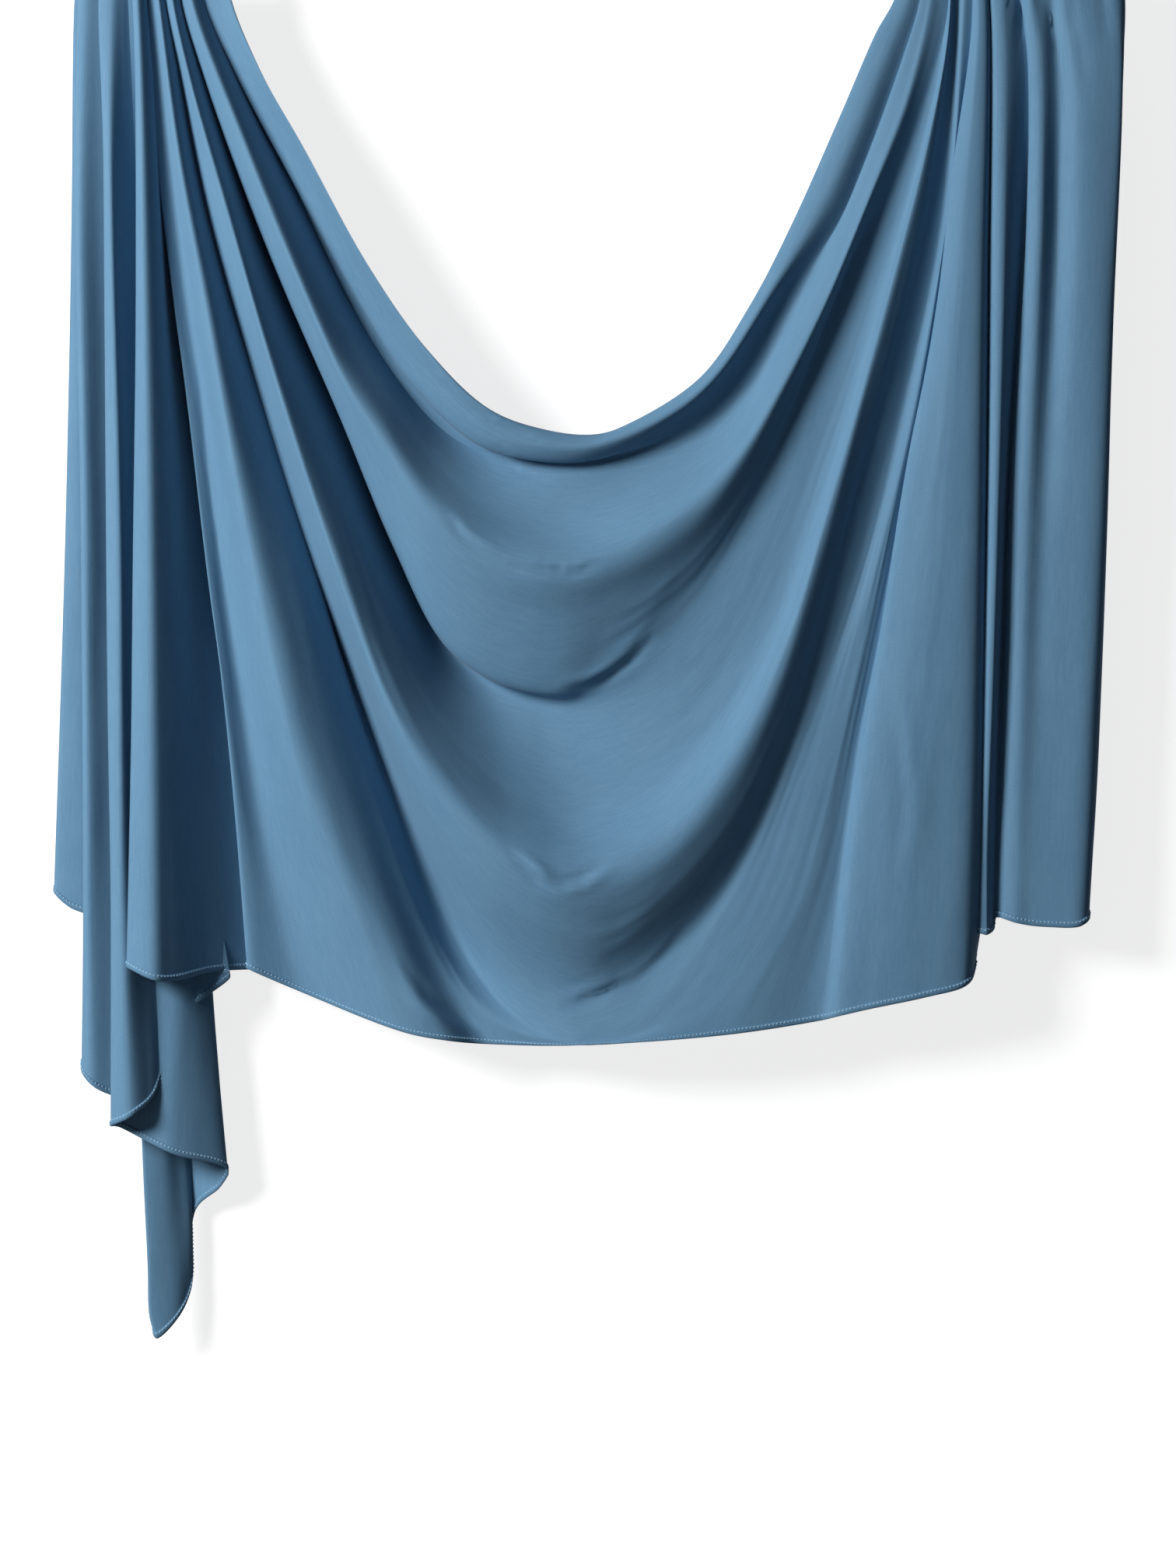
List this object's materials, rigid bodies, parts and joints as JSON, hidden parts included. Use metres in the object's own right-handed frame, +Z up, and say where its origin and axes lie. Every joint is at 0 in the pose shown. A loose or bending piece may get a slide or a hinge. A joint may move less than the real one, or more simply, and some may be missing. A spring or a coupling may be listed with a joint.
{
  "type": "baby wrap sling",
  "caption": "Long stretchy knit baby wrap, hung gathered at two points, with a deep cowl between them, pleated side falls and a cascading corner.",
  "frame": {"origin": "top centre of the left gather, where the wrap is hung", "axes": "+Z up, along which the hung cloth is longest; +X from the left gather to the right one, as seen from the front; +Y to the back, the thin way through the cloth"},
  "size_m": [0.6865, 0.0944, 0.8855],
  "materials": {
    "knit_cloth": "smooth jersey knit with a soft sheen, blue",
    "thread": "spun sewing thread, lighter blue"
  },
  "bodies": {
    "root": {"cowl_roll": "knit_cloth", "front_hem": "knit_cloth", "front_panel": "knit_cloth", "front_stitches": "thread", "left_corner_tail": "knit_cloth", "left_gather": "knit_cloth", "left_inner_hem": "knit_cloth", "left_inner_pleat": "knit_cloth", "left_inner_stitches": "thread", "left_middle_hem": "knit_cloth", "left_middle_pleat": "knit_cloth", "left_middle_stitches": "thread", "left_outer_hem": "knit_cloth", "left_outer_pleat": "knit_cloth", "left_outer_stitches": "thread", "left_return_hem": "knit_cloth", "left_return_layer": "knit_cloth", "left_return_stitches": "thread", "left_tail_hem": "knit_cloth", "left_tail_stitches": "thread", "lower_swag": "knit_cloth", "right_back_layer": "knit_cloth", "right_gather": "knit_cloth", "right_inner_hem": "knit_cloth", "right_inner_panel": "knit_cloth", "right_inner_stitches": "thread", "right_outer_hem": "knit_cloth", "right_outer_panel": "knit_cloth", "right_outer_stitches": "thread", "top_back_flap": "knit_cloth", "upper_swag": "knit_cloth"}
  },
  "joints": []
}
